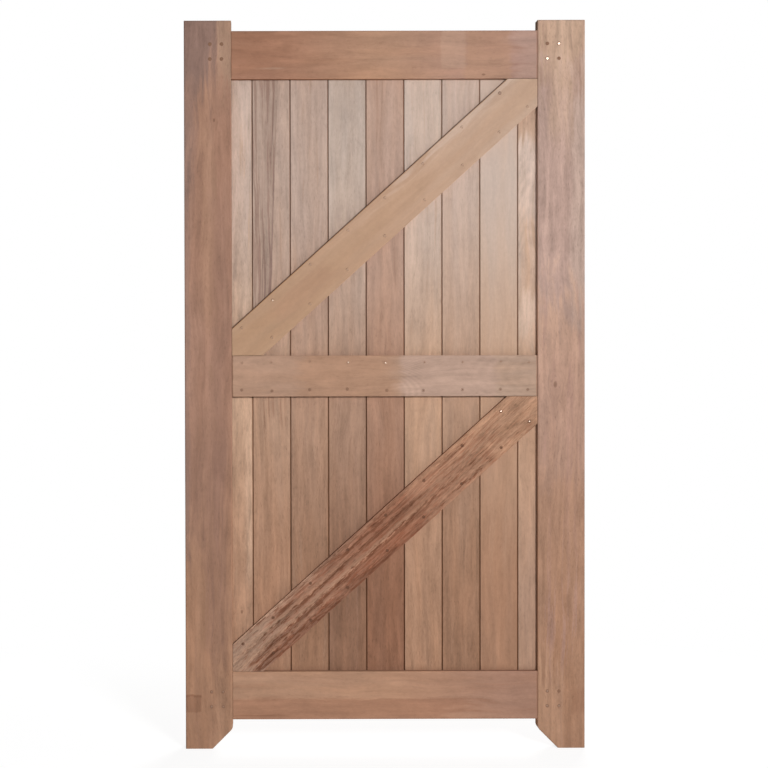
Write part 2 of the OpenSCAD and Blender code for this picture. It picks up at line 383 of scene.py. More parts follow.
class TimberLook(bpy.types.PropertyGroup):
    """Finish of one length of timber"""

    turn: AngleProperty(name="Grain", description="Direction of the grain, up from level", default=0)
    start: ToneProperty(
        name="Start", description="Tone at the start of the grain", default=linear(TONES["tan"]))
    middle: ToneProperty(
        name="Middle", description="Tone half way along the grain", default=linear(TONES["tan"]))
    end: ToneProperty(
        name="End", description="Tone at the end of the grain", default=linear(TONES["tan"]))
    streak: ToneProperty(name="Streak", description="Tone of the streaks", default=linear(TONES["brick"]))
    streaks: ShareProperty(name="Streaks", description="Strength of the streaks", default=0.3)
    cover: ShareProperty(
        name="Cover", description="Share of the timber that the streaks take up", default=0.3)
    figure: bpy.props.FloatVectorProperty(
        name="Figure", description="Contrast of the grain at the start and the end", size=2, min=0, max=3,
        default=(1, 1))
    broad: bpy.props.FloatProperty(
        name="Broad", description="Contrast of the wide bands against the lines", min=0, max=2, default=1)
    wave: bpy.props.FloatProperty(
        name="Wave", description="How much the grain wanders", min=0, max=4, default=1)
    shreds: ReachProperty(
        name="Shreds", description="Length and width of the pieces that streaks break up into",
        default=(0.3, 0.012))
    # Strength of the painted shadow along the upper edge and on the upper arris
    painted_upper_shadow: ShareProperty(name="Crest", description="How dark the dust along the upper edge is", default=0)
    torn: ShareProperty(name="Torn", description="How far the saw has torn the fibres", default=0)
    seed: bpy.props.FloatProperty(
        name="Seed", description="Which stretch of the endless grain this timber is cut from", default=0)
    stains: bpy.props.CollectionProperty(
        name="Stains", description="Patches of other tones", type=StainLook)
    arches: bpy.props.CollectionProperty(name="Arches", description="Arching rings", type=ArchLook)
    knots: bpy.props.CollectionProperty(name="Knots", description="Small knots", type=KnotLook)


class FixingLook(bpy.types.PropertyGroup):
    """Sizes of a driven head and the darker wood round it, partly bruised and partly painted shade of its
    hole
    """

    head: LengthProperty(name="Head", description="Diameter of the head", default=0.0042)
    # The collar is the ring of darker wood, partly bruised and partly painted shade of the hole
    collar: LengthProperty(
        name="Collar", description="Diameter of the bruised wood round the head", default=0.0094)
    row: LengthProperty(
        name="Row", description="Distance of each row of heads from its timber's middle", default=0.0345)
    stray: LengthProperty(
        name="Stray", description="How far a head may stray from its place", default=0.0025)
    steel: ToneProperty(name="Steel", description="Colour of a bright head", default=linear("CDBAAB"))
    # Darkening of a tarnished head, partly dirt and partly painted shade of its hole
    grime_and_shade: ShareProperty(
        name="Grime", description="How dark a tarnished head is where it has bruised the wood", default=0.8)
    tarnish: ToneProperty(
        name="Tarnish", description="Colour of a tarnished head", default=linear("A0806A"))


class StageLook(bpy.types.PropertyGroup):
    """Camera and light of the white studio"""

    eye: PlaceProperty(name="Eye", description="Where the camera stands", default=(0.2, -4.5, 0.99))
    pitch: AngleProperty(
        name="Pitch", description="How far the camera looks down", default=math.radians(0.899))
    yaw: AngleProperty(
        name="Yaw", description="How far the camera looks to the left", default=math.radians(-0.049))
    roll: AngleProperty(name="Roll", description="How far the camera leans", default=math.radians(-0.14))
    lens: bpy.props.FloatProperty(
        name="Lens", description="Focal length on a 36 mm sensor", unit="CAMERA", default=84.02)
    shift: bpy.props.FloatVectorProperty(
        name="Shift", description="How far the picture is shifted right and up, in picture widths", size=2,
        default=(0.1532, -0.0030))
    key: PlaceProperty(name="Key", description="Where the key lamp hangs", default=(1.8, -5.0, 1.9))
    aim: PlaceProperty(name="Aim", description="Where the lamps point", default=(-0.6, 0.0, -0.8))
    key_size: LengthProperty(name="Key size", description="Width of the key lamp", default=0.8)
    key_power: bpy.props.FloatProperty(
        name="Key power", description="Power of the key lamp", unit="POWER", default=222)
    sky: ShareProperty(name="Sky", description="Light from all round", default=0.17)


class GateLooks(bpy.types.PropertyGroup):
    """All the looks of the gate"""

    timbers: bpy.props.CollectionProperty(
        name="Timbers", description="Finish of each timber", type=TimberLook)
    nails: bpy.props.PointerProperty(
        name="Nails", description="Nails in the middle rail and braces", type=FixingLook)
    pins: bpy.props.PointerProperty(
        name="Pins", description="Pins in the corners of the frame", type=FixingLook)
    stage: bpy.props.PointerProperty(name="Stage", description="Camera and light", type=StageLook)


# Where the pins differ from the nails
PIN_LOOK = {
    "head": 0.0081, "collar": 0.0102, "stray": 0, "grime_and_shade": 0,
    "steel": linear("B8A595"), "tarnish": linear("866450"),
}


def copy_values(target, values):
    """Copies named values into a group of properties."""
    for name, value in values.items():
        setattr(target, name, value)


def fill_looks(looks):
    """Copies the table of timbers into the scene's own properties."""
    for seed, (node, (values, marks)) in enumerate(gate_timbers().items()):
        look = looks.timbers.add()
        look.name = node
        look.seed = seed
        copy_values(look, values)
        for kind, list_of_marks in marks.items():
            for mark in list_of_marks:
                copy_values(getattr(look, kind).add(), mark)
    copy_values(looks.pins, PIN_LOOK)


# Shader maths

# How far apart in the noise two seeds lie
SEED_STEPS = (3.7, 1.9, 2.3)


def overload(operation):
    """Methods of one operator: with the socket before it, and with the socket behind it."""
    def before(self, other):
        return self.maths(operation, self, other)

    def behind(self, other):
        return self.maths(operation, other, self)

    return before, behind


class Shade:
    """One socket of a finish, so that shader maths reads as plain Python."""

    def __init__(self, finish, socket):
        self.finish = finish
        self.socket = socket

    def maths(self, operation, *values):
        """Adds one Math node."""
        return self.finish.node("Math", {"operation": operation}, dict(enumerate(values)))

    __add__, __radd__ = overload("ADD")
    __sub__, __rsub__ = overload("SUBTRACT")
    __mul__, __rmul__ = overload("MULTIPLY")
    __truediv__, __rtruediv__ = overload("DIVIDE")
    __pow__, __rpow__ = overload("POWER")

    def __abs__(self):
        return self.maths("ABSOLUTE", self)


class Finish:
    """Builds the nodes of one material or world."""

    def __init__(self, holder):
        holder.use_nodes = True
        self.holder = holder
        self.tree = holder.node_tree
        self.tree.nodes.clear()

    def node(self, kind, settings=None, sockets=None, output=0):
        """Adds one shader node: its settings first, then the values or links of its sockets."""
        made = self.tree.nodes.new(f"ShaderNode{kind}")
        for name, value in (settings or {}).items():
            setattr(made, name, value)
        for key, value in (sockets or {}).items():
            if isinstance(value, Shade):
                self.tree.links.new(value.socket, made.inputs[key])
            else:
                made.inputs[key].default_value = value
        return Shade(self, made.outputs[output]) if made.outputs else None

    def blend(self, share, first, second):
        """Mixes two colours."""
        return self.node("Mix", {"data_type": "RGBA"}, {0: share, 6: first, 7: second}, 2)

    def scale(self, colour, by):
        """Makes a colour lighter or darker."""
        return self.node("VectorMath", {"operation": "SCALE"}, {0: colour, 3: by})

    def times(self, colour, by):
        """Multiplies two colours."""
        return self.node("VectorMath", {"operation": "MULTIPLY"}, {0: colour, 1: by})

    def step(self, value, low, high):
        """Rises smoothly from 0 at low to 1 at high."""
        settings = {"interpolation_type": "SMOOTHSTEP"}
        return self.node("MapRange", settings, {"Value": value, 1: low, 2: high})

    def window(self, value, low, high, fade):
        """1 between low and high, with soft ends."""
        rise = self.step(value, low - fade, low + fade)
        return rise * self.step(value, high + fade, high - fade)

    def noise(self, place, length, width, seed, detail=2.0, rough=0.5):
        """Noise with marks of about this length along the grain and this width across it."""
        start = [seed * step for step in SEED_STEPS]
        size = (1 / length, 1 / width, 1 / width)
        stretched = self.node("Mapping", {}, {"Vector": place, "Location": start, "Scale": size})
        sockets = {"Vector": stretched, "Scale": 1.0, "Detail": detail, "Roughness": rough}
        return self.node("TexNoise", {}, sockets)

    def dot(self, first, second):
        """How far two directions agree."""
        return self.node("VectorMath", {"operation": "DOT_PRODUCT"}, {0: first, 1: second}, 1)

    def bump(self, strength, distance, height):
        """Surface that rises and sinks with a height."""
        sockets = {"Strength": strength, "Distance": distance, "Height": height}
        return self.node("Bump", {}, sockets, "Normal")

    def mark(self, name):
        """Value that the mesh carries under a name."""
        return self.node("Attribute", {"attribute_name": name}, output="Fac")

    def close(self, shader):
        """Links the last shader to the output."""
        kind = "World" if isinstance(self.holder, bpy.types.World) else "Material"
        self.node(f"Output{kind}", {}, {"Surface": shader})


def solid(colour):
    """A colour with full alpha, as colour sockets take it."""
    return (*colour, 1.0)


# Timber

# Layers of the grain: length and width of their marks, start of the noise, its detail and roughness
LAYERS = {
    "drift": (0.9, 0.25, 0.0, 1.0, 0.5),
    "waves": (0.17, 0.05, 0.3, 1.0, 0.5),
    "bands": (0.5, 0.026, 0.1, 2.0, 0.5),
    "hue": (0.3, 0.03, 0.2, 1.0, 0.5),
    "lines": (0.10, 0.0085, 0.4, 2.0, 0.5),
    "fibres": (0.013, 0.0030, 0.5, 2.0, 0.6),
    "cloud": (0.07, 0.03, 0.6, 2.0, 0.5),
    "pores": (0.013, 0.0024, 0.7, 1.0, 0.5),
    "flecks": (0.010, 0.007, 0.9, 3.0, 0.6),
}
SHRED_LAYER = (0.8, 4.0, 0.6)
SHRED_FIBRES = 0.12
# How far the grain drifts and waves, in metres
DRIFT = 0.05
WAVE = 0.022
# How strongly each layer lightens or darkens the wood
BAND_LIGHT = 0.60
CLOUD_LIGHT = 0.50
LINE_LIGHT = 0.50
FIBRE_LIGHT = 0.28
PORE_DARK = 0.12
FLECK_LIGHT = 0.16
# Where along a timber its middle tone and its end tone come in, as shares of its length
MIDDLE_TONE = (0.15, 0.55)
END_TONE = (0.43, 0.9)
# Parts of the noise that change the hue, make pores, and make the whole pieces of a broken patch
HUE_STEP = (-0.2, 0.2)
PORE_STEP = (0.1, 0.22)
SHRED_STEP = (0.46, 0.55)
# Parts of the noise that make streaks, at no cover, and how far full cover lowers them
STREAK_STEP = (0.64, 0.78)
STREAK_COVER = 0.22
# How far the grain roughens the edges of a patch, in fades, and torn fibres do, in metres
PATCH_ROUGH = 3.0
TORN_ROUGH = 0.008
# How far the lines roughen arching rings, in rings, and how softly the rings end, in metres
RING_ROUGH = 0.4
RING_ENDS = 0.02
# Knots: length against width, reach of the grain that runs round them, and their dark core
KNOT_LENGTH = 1.7
KNOT_REACH = (40.0, 0.5)
KNOT_PULL = 0.6
KNOT_CORE = (2.2, 0.1)
KNOT_DARK = 0.5
# Two tints that the wood varies between, the tint of the painted shadow along upper edges, and that of end
# grain
WARM_TINT = (1.015, 0.993, 0.978, 1)
COOL_TINT = (0.99, 0.997, 1.012, 1)
EDGE_SHADOW_TINT = (0.64, 0.5, 0.37)
END_GRAIN_TINT = (0.74, 0.68, 0.64)
# Tint of the painted shade inside the joints, partly darker raw wood; painted light on the arrises, a
# highlight on the frame and shade on the boards; and how far they face outward at least
BOARD_EDGES = ((0.64, 0.54, 0.47), -0.2, 0.6)
FRAME_EDGES = ((0.95, 0.93, 0.91), 0.25, 0.25)
ARRIS_MOST = 0.8
ARRIS_FADE = 0.05
# How far an upper arris, darkened as painted shade, faces up and outward, and end grain along the timber
UPPER_ARRIS = ((0.2, 0.5), (0.1, 0.3))
END_GRAIN = (0.6, 0.85)
# Depth under a face at which the painted shade of the joints sets in, and how soon
JOINT_DEPTH = 0.0025
JOINT_FADE = 0.0008
# Width of the painted shadow along an upper edge, from its first trace to full
EDGE_SHADOW_WIDTH = (0.004, 0.001)
# Share of bark in the tone of the wood round a head, partly bruised wood and partly painted shade of its
# hole
BRUISE_AND_SHADE_DARK = 0.85
# Roughness of planed wood, strength of its relief, planed and torn, and height of that in metres
ROUGHNESS = 0.68
RELIEF = 0.22
TORN_RELIEF = 0.4
RELIEF_HEIGHT = 0.0006


def grain_directions(turn):
    """Directions along the grain and across it."""
    along = Vector((math.cos(turn), 0, math.sin(turn)))
    across = Vector((-math.sin(turn), 0, math.cos(turn)))
    return along, across


def grain_reach(node, turn):
    """Corner where a timber's grain starts, and its length, width and thickness."""
    along, across = grain_directions(turn)
    points = [vertex.co for vertex in frame["nodes"][node].data.vertices]
    lengths = [point.dot(along) for point in points]
    widths = [point.dot(across) for point in points]
    corner = along * min(lengths) + across * min(widths)
    depths = [point.y for point in points]
    corner.y = min(depths)
    return corner, *(max(reach) - min(reach) for reach in (lengths, widths, depths))


def grain_layer(finish, place, look, name):
    """One layer of a timber's grain, around 0."""
    length, width, start, detail, rough = LAYERS[name]
    return finish.noise(place, length, width, look.seed + start, detail, rough) - 0.5


def edge_tone(finish, look, tone, depth, across):
    """Painted shade in the joints, partly darker raw wood, painted light and shade on the arrises, a
    painted shadow along upper edges, and darker end grain.
    """
    along_way, across_way = grain_directions(look.turn)
    _, _, wide, deep = grain_reach(look.name, look.turn)
    painted_joint_shade, painted_arris_light, least = BOARD_EDGES if look.name in BOARDS else FRAME_EDGES
    facing = finish.node("TexCoord", output="Normal")
    outward = abs(finish.node("SeparateXYZ", {}, {0: facing}, "Y"))
    # Painted shade, partly darker raw wood, on faces that lie deeper than either face of the timber, such
    # as the sides of the joints
    inside = finish.window(depth, JOINT_DEPTH, deep - JOINT_DEPTH, JOINT_FADE)
    tone = finish.blend(inside, tone, finish.times(tone, painted_joint_shade))
    # Painted highlight on the arrises of the frame, painted shade on the arrises of the boards
    tone = finish.scale(tone, 1.0 + finish.window(outward, least, ARRIS_MOST, ARRIS_FADE) * painted_arris_light)
    # Painted shadow along the upper edge: a darker strip of the face and a darker upper arris
    painted_edge_shadow = finish.step(across, wide - EDGE_SHADOW_WIDTH[0], wide - EDGE_SHADOW_WIDTH[1]) * look.painted_upper_shadow
    tone = finish.blend(painted_edge_shadow, tone, finish.times(tone, EDGE_SHADOW_TINT))
    upward = finish.dot(facing, across_way)
    shaded_arris = finish.step(upward, *UPPER_ARRIS[0]) * finish.step(outward, *UPPER_ARRIS[1])
    tone = finish.scale(tone, 1.0 - shaded_arris * look.painted_upper_shadow)
    end_grain = finish.step(abs(finish.dot(facing, along_way)), *END_GRAIN)
    return finish.blend(end_grain, tone, finish.times(tone, END_GRAIN_TINT))


def timber_finish(look):
    """Unfinished planed hardwood: bands, streaks, fibres, pores, stains and knots along one grain."""
    finish = Finish(bpy.data.materials.new(f"{look.name}_timber"))
    corner, length, _, _ = grain_reach(look.name, look.turn)

    # Place on the timber, in metres from the corner where its grain starts
    coordinates = finish.node("TexCoord", output="Object")
    sockets = {"Vector": coordinates, "Location": corner, "Rotation": (0, -look.turn, 0)}
    place = finish.node("Mapping", {"vector_type": "TEXTURE"}, sockets)
    along, depth, across = (finish.node("SeparateXYZ", {}, {0: place}, axis) for axis in "XYZ")

    # Grain that wanders and runs round the knots
    wander = grain_layer(finish, place, look, "drift") * DRIFT
    wander += grain_layer(finish, place, look, "waves") * (WAVE * look.wave)
    knot_core = 0.0
    for mark in look.knots:
        away = ((along - mark.along) / (KNOT_LENGTH * mark.radius)) ** 2.0
        away += ((across - mark.across) / mark.radius) ** 2.0
        wander += (mark.across - across) * finish.step(away, *KNOT_REACH) * KNOT_PULL
        knot_core = finish.step(away, *KNOT_CORE) + knot_core
    grain = finish.node("CombineXYZ", {}, {0: along, 1: depth, 2: across + wander})

    names = ("bands", "hue", "lines", "cloud", "flecks")
    bands, hue, lines, cloud, flecks = (grain_layer(finish, grain, look, name) for name in names)
    fibres = grain_layer(finish, grain, look, "fibres") * (1.0 + look.torn)
    pores = finish.step(grain_layer(finish, grain, look, "pores"), *PORE_STEP)
    start, detail, rough = SHRED_LAYER
    ragged = finish.noise(grain, *look.shreds, look.seed + start, detail, rough) + fibres * SHRED_FIBRES

    # Tone from end to end, streaks and stains; a paler start on an upright timber is partly painted sheen
    # of the light on its upper part, partly the wood's own drift
    tone = solid(look.start)
    for (low, high), next_tone in ((MIDDLE_TONE, look.middle), (END_TONE, look.end)):
        tone = finish.blend(finish.step(along, low * length, high * length), tone, solid(next_tone))
    tone = finish.times(tone, finish.blend(finish.step(hue, *HUE_STEP), WARM_TINT, COOL_TINT))
    streak = finish.step(ragged, *(edge - STREAK_COVER * look.cover for edge in STREAK_STEP))
    tone = finish.blend(streak * look.streaks, tone, solid(look.streak))
    for mark in look.stains:
        end = along + (cloud + lines) * PATCH_ROUGH * mark.ends
        side = across + lines * PATCH_ROUGH * mark.fade - along * mark.lean
        side += fibres * (mark.fade + TORN_ROUGH * look.torn)
        patch = finish.window(end, mark.along[0], mark.along[1], mark.ends)
        patch *= finish.window(side, mark.across[0], mark.across[1], mark.fade)
        broken = 1.0 - mark.streaky + finish.step(ragged, *SHRED_STEP) * mark.streaky
        tone = finish.blend(patch * broken * mark.amount, tone, solid(mark.tone))

    # Light and dark of the grain
    figure = look.figure[0] + along * ((look.figure[1] - look.figure[0]) / length)
    light = (bands * BAND_LIGHT + cloud * CLOUD_LIGHT) * look.broad
    light += lines * LINE_LIGHT + fibres * FIBRE_LIGHT - pores * PORE_DARK
    light = light * figure + flecks * FLECK_LIGHT
    for mark in look.arches:
        ring = along + (across - mark.across) ** 2.0 * mark.curve + lines * RING_ROUGH * mark.spacing
        turns = ring * (2 * math.pi / mark.spacing)
        wave = turns.maths("SINE", turns)
        light += wave * finish.window(along, mark.along[0], mark.along[1], RING_ENDS) * mark.amount
    tone = finish.scale(tone, 1.0 + light)
    if look.knots:
        tone = finish.blend(knot_core * KNOT_DARK, tone, BARK)

    # Edges, and the darker wood round a driven head, partly bruised and partly painted shade of its hole
    tone = edge_tone(finish, look, tone, depth, across)
    tone = finish.blend(finish.mark("bruise_and_shade") * BRUISE_AND_SHADE_DARK, tone, BARK)

    height = fibres * 0.6 + lines * 0.5 - pores * 0.7
    bump = finish.bump(RELIEF + TORN_RELIEF * look.torn, RELIEF_HEIGHT, height)
    roughness = ROUGHNESS + fibres * 0.2 + pores * 0.1 - streak * 0.05
    sockets = {"Base Color": tone, "Roughness": roughness, "Normal": bump, "Specular IOR Level": 0.0}
    finish.close(finish.node("BsdfPrincipled", {}, sockets))
    return finish.holder


def dress(node, material):
    """Gives a CAD node its finish."""
    slots = frame["nodes"][node].data.materials
    slots.clear()
    slots.append(material)


def dress_timbers(looks, nodes):
    """Gives each of these timbers a finish of its own."""
    for node in nodes:
        dress(node, timber_finish(looks.timbers[node]))


class GATE_OT_finish_stiles(bpy.types.Operator):
    """Finish the two stiles"""

    bl_idname = "gate.finish_stiles"
    bl_label = "Finish Stiles"

    def execute(self, context):
        dress_timbers(context.scene.gate_looks, ["hanging_stile", "lock_stile"])
        return {"FINISHED"}


class GATE_OT_finish_rails(bpy.types.Operator):
    """Finish the top, middle and bottom rails"""

    bl_idname = "gate.finish_rails"
    bl_label = "Finish Rails"

    def execute(self, context):
        dress_timbers(context.scene.gate_looks, ["top_rail", "middle_rail", "bottom_rail"])
        return {"FINISHED"}


class GATE_OT_finish_braces(bpy.types.Operator):
    """Finish the two braces"""

    bl_idname = "gate.finish_braces"
    bl_label = "Finish Braces"

    def execute(self, context):
        dress_timbers(context.scene.gate_looks, ["upper_brace", "lower_brace"])
        return {"FINISHED"}


class GATE_OT_finish_boards(bpy.types.Operator):
    """Finish the boards of the panel"""

    bl_idname = "gate.finish_boards"
    bl_label = "Finish Boards"

    def execute(self, context):
        dress_timbers(context.scene.gate_looks, BOARDS)
        return {"FINISHED"}


# Nails and pins

# A driven head before it is shaped: depth and height above the wood, in metres, and sides
HEAD_BODY = 0.0008
HEAD_PROUD = 0.00005
HEAD_SIDES = 24
# Rings from the collar's lip to the hole, then up the domed head: share of the room, and rise
COLLAR_RINGS = ((0.45, 0.00014), (0.3, 0.00002), (0.15, -0.00045), (0.1, 0.0))
HEAD_RINGS = ((0.04, 0.0003), (0.3, 0.00012), (0.36, 0.00005))
# How fast the bruised wood and its painted shade deepen towards the head, and the share of the head that
# can shine
BRUISE_AND_SHADE_REACH = 1.6
SHINE_REACH = 0.8
# Scuffs of the steel: length, width, start and detail of the noise, and height in metres
SCUFFS = (0.002, 0.0008, 0.0, 3.0)
SCUFF_HEIGHT = 0.0002
# Shine of a head that is all steel, and of one that is all tarnish
SHINE_STEP = (0.8, 0.2)


def steel_finish(name, look):
    """Steel heads, some bright and some tarnished."""
    finish = Finish(bpy.data.materials.new(name))
    place = finish.node("TexCoord", output="Object")
    scuffs = finish.noise(place, *SCUFFS) - 0.5
    share = finish.step(finish.mark("shine") + scuffs * 0.3, *SHINE_STEP)
    # Tarnished heads turn towards bark where the wood round them is darkened: partly dirt, partly painted
    # shade of the hole
    grime_and_shade = finish.mark("bruise_and_shade") * look.grime_and_shade
    tarnish = finish.blend(grime_and_shade, solid(look.tarnish), BARK)
    sockets = {
        "Base Color": finish.blend(share, solid(look.steel), tarnish),
        "Metallic": 1.0 - share,
        "Roughness": 0.3 + share * 0.3 + scuffs * 0.2,
        "Normal": finish.bump(0.2, SCUFF_HEIGHT, scuffs),
        "Specular IOR Level": 0.1,
    }
    finish.close(finish.node("BsdfPrincipled", {}, sockets))
    return finish.holder


def model_head(name, look):
    """One driven head in its ring of darker wood, partly bruised and partly painted shade of its hole, at
    the origin, facing the braced side.
    """
    collar = look.collar / 2
    head = look.head / 2
    room = collar - head
    bpy.ops.object.select_all(action="DESELECT")
    bpy.ops.mesh.primitive_cylinder_add(
        vertices=HEAD_SIDES, radius=collar, depth=HEAD_BODY,
        location=(0, HEAD_BODY / 2 - HEAD_PROUD, 0), rotation=(math.pi / 2, 0, 0))
    piece = bpy.context.object
    piece.name = name
    bpy.ops.object.transform_apply(location=True, rotation=True, scale=True)
    bpy.ops.object.mode_set(mode="EDIT")
    bpy.ops.mesh.select_mode(type="FACE")
    bpy.ops.mesh.select_all(action="DESELECT")
    bpy.ops.object.mode_set(mode="OBJECT")
    for face in piece.data.polygons:
        face.select = face.normal.y < -0.9
    bpy.ops.object.mode_set(mode="EDIT")
    rings = [(share * room, rise) for share, rise in COLLAR_RINGS]
    rings += [(share * head, rise) for share, rise in HEAD_RINGS]
    for inset, rise in rings:
        bpy.ops.mesh.inset(thickness=inset, depth=0)
        bpy.ops.transform.translate(value=(0, -rise, 0))
    bpy.ops.object.mode_set(mode="OBJECT")
    bruise_and_shade = piece.data.attributes.new("bruise_and_shade", "FLOAT", "POINT")
    for vertex, mark in zip(piece.data.vertices, bruise_and_shade.data):
        mark.value = min(1, max(0, BRUISE_AND_SHADE_REACH * (collar - vertex.co.xz.length) / room))
    shine = piece.data.attributes.new("shine", "FLOAT", "POINT")
    for vertex, mark in zip(piece.data.vertices, shine.data):
        mark.value = 1 if vertex.co.xz.length < SHINE_REACH * head else 0
    for face in piece.data.polygons:
        face.material_index = 1 if face.center.xz.length < head else 0
        face.use_smooth = face.normal.y < -0.3
    return piece


def drive_heads(name, look, places, wood, steel):
    """Copies one modelled head to each place and joins them as one piece.

    A place is given as x, z, shine, and how far the wood round the head is darkened, partly bruised and
    partly painted shade.
    """
    pattern = model_head(f"{name}_pattern", look)
    pattern.data.materials.append(wood)
    pattern.data.materials.append(steel)
    copies = []
    for x, z, shine, bruise_and_shade in places:
        copy = pattern.copy()
        copy.data = pattern.data.copy()
        copy.location = (x, BRACED_FACE, z)
        for name_of_mark, share in (("shine", shine), ("bruise_and_shade", bruise_and_shade)):
            for mark in copy.data.attributes[name_of_mark].data:
                mark.value *= share
        bpy.context.collection.objects.link(copy)
        copies.append(copy)
    bpy.data.objects.remove(pattern)
    bpy.ops.object.select_all(action="DESELECT")
    for copy in copies:
        copy.select_set(True)
    bpy.context.view_layer.objects.active = copies[0]
    bpy.ops.object.join()
    piece = bpy.context.object
    piece.name = name
    bpy.ops.object.transform_apply(location=True, rotation=True, scale=True)
    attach(piece, BODY)


def board_centres():
    """Middle of each board as it shows between the stiles and its joints."""
    edges = [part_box("hanging_stile")[1].x]
    edges += [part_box(board)[0].x for board in BOARDS[1:]]
    edges.append(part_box("lock_stile")[0].x)
    return [(left + right) / 2 for left, right in zip(edges, edges[1:])]


# How much some nail heads still shine, by timber, board and row
BRIGHT_NAILS = {
    ("middle_rail", 4, 1): 0.62, ("middle_rail", 5, 1): 0.65, ("upper_brace", 2, 1): 0.55,
    ("lower_brace", 8, 1): 0.66, ("lower_brace", 9, -1): 0.62,
}
# How far single nails darken the wood by bruising and painted shade, by timber, board and row
DARK_NAILS = {("upper_brace", 8, 1): 0.9}
# How much the other nail heads of each timber shine, and how far that varies
NAIL_SHINE = {"middle_rail": 0.1, "upper_brace": 0.36, "lower_brace": 0.1}
SHINE_STRAY = 0.06
NAIL_SEED = 7
# How far the nails darken each timber by bruising and painted shade, by row
NAIL_BRUISES_AND_SHADE = {
    "middle_rail": {1: 0.2, -1: 0.6},
    "upper_brace": {1: 0.08, -1: 0.04},
    "lower_brace": {1: 1.18, -1: 1.18},
}


def nail_places(node, turn, look, chance):
    """Places of two rows of nails along a timber, one of each row in every board."""
    low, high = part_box(node)
    middle = (low + high) / 2
    places = []
    for number, x in enumerate(board_centres(), 1):
        for row in (1, -1):
            nail_x = x + chance.uniform(-look.stray, look.stray)
            nail_z = middle.z + (nail_x - middle.x) * math.tan(turn) + row * look.row / math.cos(turn)
            nail_z += chance.uniform(-look.stray, look.stray)
            dull = NAIL_SHINE[node] + chance.uniform(-SHINE_STRAY, SHINE_STRAY)
            shine = BRIGHT_NAILS.get((node, number, row), dull)
            if low.z + look.collar < nail_z < high.z - look.collar:
                bruise_and_shade = DARK_NAILS.get((node, number, row), NAIL_BRUISES_AND_SHADE[node][row])
                places.append((nail_x, nail_z, shine, bruise_and_shade))
    return places


class GATE_OT_drive_nails(bpy.types.Operator):
    """Drive the nails of the middle rail and the braces"""

    bl_idname = "gate.drive_nails"
    bl_label = "Drive Nails"

    def execute(self, context):
        looks = context.scene.gate_looks
        steel = steel_finish("nail_steel", looks.nails)
        chance = random.Random(NAIL_SEED)
        for node in ("middle_rail", "upper_brace", "lower_brace"):
            wood = frame["nodes"][node].data.materials[0]
            places = nail_places(node, looks.timbers[node].turn, looks.nails, chance)
            drive_heads(f"{node}_nails", looks.nails, places, wood, steel)
        return {"FINISHED"}


# Radius of the pins of the CAD model
PIN_RADIUS = 0.004
# How much some pin heads still shine, by node, column and row
BRIGHT_PINS = {
    ("top_lock_pins", 1, 1): 0.6, ("top_lock_pins", 0, 0): 0.6, ("bottom_lock_pins", 1, 1): 0.0,
}
# How much the other pin heads of each corner shine, and how far the pins darken it by bruising and painted
# shade
PIN_MARKS = {
    "top_hanging_pins": (0.0, 0.8),
    "top_lock_pins": (0.0, 0.6),
    "bottom_hanging_pins": (0.34, 0.05),
    "bottom_lock_pins": (0.38, 0.25),
}


def pin_places(node):
    """Places of the four pins of one corner, from the box that they fill."""
    low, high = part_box(node)
    shine, bruise_and_shade = PIN_MARKS[node]
    places = []
    for column, x in enumerate((low.x + PIN_RADIUS, high.x - PIN_RADIUS)):
        for row, z in enumerate((low.z + PIN_RADIUS, high.z - PIN_RADIUS)):
            places.append((x, z, BRIGHT_PINS.get((node, column, row), shine), bruise_and_shade))
    return places


class GATE_OT_set_pins(bpy.types.Operator):
    """Finish the corner pins and their heads"""

    bl_idname = "gate.set_pins"
    bl_label = "Set Pins"

    def execute(self, context):
        looks = context.scene.gate_looks
        steel = steel_finish("pin_steel", looks.pins)
        for stile in ("hanging", "lock"):
            wood = frame["nodes"][f"{stile}_stile"].data.materials[0]
            places = []
            for corner in ("top", "bottom"):
                node = f"{corner}_{stile}_pins"
                dress(node, steel)
                places += pin_places(node)
            drive_heads(f"{stile}_pin_heads", looks.pins, places, wood, steel)
        return {"FINISHED"}


# Stage

WHITE = (1, 1, 1, 1)
# Floor: its width, where it fades to white, the shadow it keeps and the light it gives back
FLOOR_SIZE = 8
FLOOR_FADE = (0.9, 1.9)
SHADOW_GREY = (0.22, 0.22, 0.22, 1)
SHADOW_GLOW = 0.86
BOUNCE_GREY = (0.75, 0.75, 0.75, 1)
# Back lamp: how much higher and larger it is than the key lamp
BACK_LAMP_RISE = 0.4
BACK_LAMP_GROWTH = 2
SENSOR_WIDTH = 36


def floor_finish():
    """White floor that keeps the gate's shadow and fades into the white around it."""
    finish = Finish(bpy.data.materials.new("studio_floor"))
    place = finish.node("TexCoord", output="Object")
    away = finish.node("VectorMath", {"operation": "LENGTH"}, {0: place}, 1)
    fade = finish.step(away, *FLOOR_FADE)
    shadow = finish.node("BsdfDiffuse", {}, {"Color": SHADOW_GREY})
    glow = finish.node("Emission", {}, {"Color": WHITE, "Strength": SHADOW_GLOW})
    near = finish.node("AddShader", {}, {0: shadow, 1: glow})
    white = finish.node("Emission", {}, {"Color": WHITE, "Strength": 1.0})
    seen = finish.node("MixShader", {}, {0: fade, 1: near, 2: white})
    plain = finish.node("BsdfDiffuse", {}, {"Color": BOUNCE_GREY})
    finish.close(finish.node("MixShader", {}, {0: seen_directly(finish), 1: plain, 2: seen}))
    return finish.holder


def seen_directly(finish):
    """1 for rays that show the white background: from the camera, a mirror or glass."""
    rays = ("Is Camera Ray", "Is Glossy Ray", "Is Transmission Ray")
    camera, mirror, glass = (finish.node("LightPath", output=ray) for ray in rays)
    return finish.node("Clamp", {}, {"Value": camera + mirror + glass})


